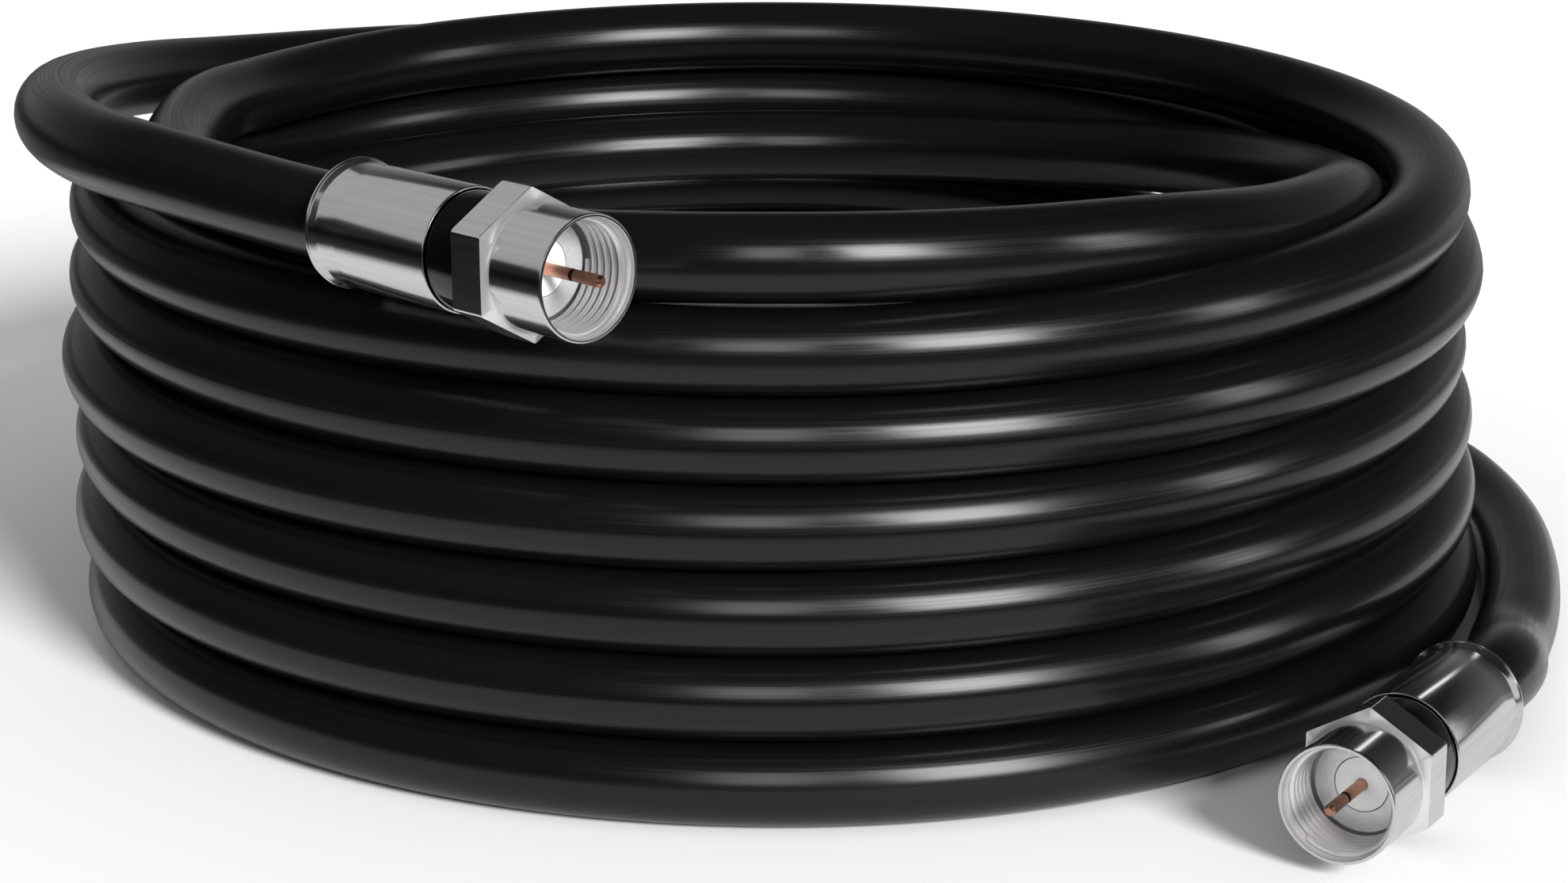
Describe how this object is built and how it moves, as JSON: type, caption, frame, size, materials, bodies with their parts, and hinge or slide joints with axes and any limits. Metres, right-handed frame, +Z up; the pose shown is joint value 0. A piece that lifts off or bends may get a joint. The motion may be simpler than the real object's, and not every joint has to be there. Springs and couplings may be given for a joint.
{
  "type": "coaxial cable coil",
  "caption": "Round coil of black coaxial cable, lying flat, with a nickel-plated threaded F-type connector on each end; both hex coupling nuts spin.",
  "frame": {"origin": "on the floor under the middle of the whole coil's box", "axes": "+Z up along the coil's axis, -Y towards the side where both connectors lie, +X to the right seen from that side"},
  "size_m": [0.1508, 0.1594, 0.0576],
  "materials": {
    "cable_jacket": "glossy extruded black PVC",
    "nickel_sleeve": "satin turned nickel plating",
    "nickel_nut": "bright turned nickel plating",
    "nickel_post": "bright turned nickel plating",
    "black_band": "polished black",
    "dielectric": "cut white polyethylene",
    "copper": "drawn copper"
  },
  "bodies": {
    "cable": {"cable_coil": "cable_jacket", "cable_lead_in": "cable_jacket", "cable_top_turn": "cable_jacket", "cable_tail": "cable_jacket", "end_a_compression_sleeve": "nickel_sleeve", "end_a_connector_body": "black_band", "end_a_flanged_post": "nickel_post", "end_a_dielectric": "dielectric", "end_a_centre_conductor": "copper", "end_b_compression_sleeve": "nickel_sleeve", "end_b_connector_body": "black_band", "end_b_flanged_post": "nickel_post", "end_b_dielectric": "dielectric", "end_b_centre_conductor": "copper"},
    "nut_a": {"end_a_coupling_nut": "nickel_nut"},
    "nut_b": {"end_b_coupling_nut": "nickel_nut"}
  },
  "joints": [
    {"name": "nut_a_spin", "type": "hinge", "parent": "cable", "child": "nut_a", "pos_m": [-0.01673, -0.07615, 0.0512], "axis": [0.7058, -0.7083, 0.0105], "continuous": true},
    {"name": "nut_b_spin", "type": "hinge", "parent": "cable", "child": "nut_b", "pos_m": [0.04326, -0.07443, 0.00671], "axis": [-0.503, -0.8643, 0], "continuous": true}
  ]
}
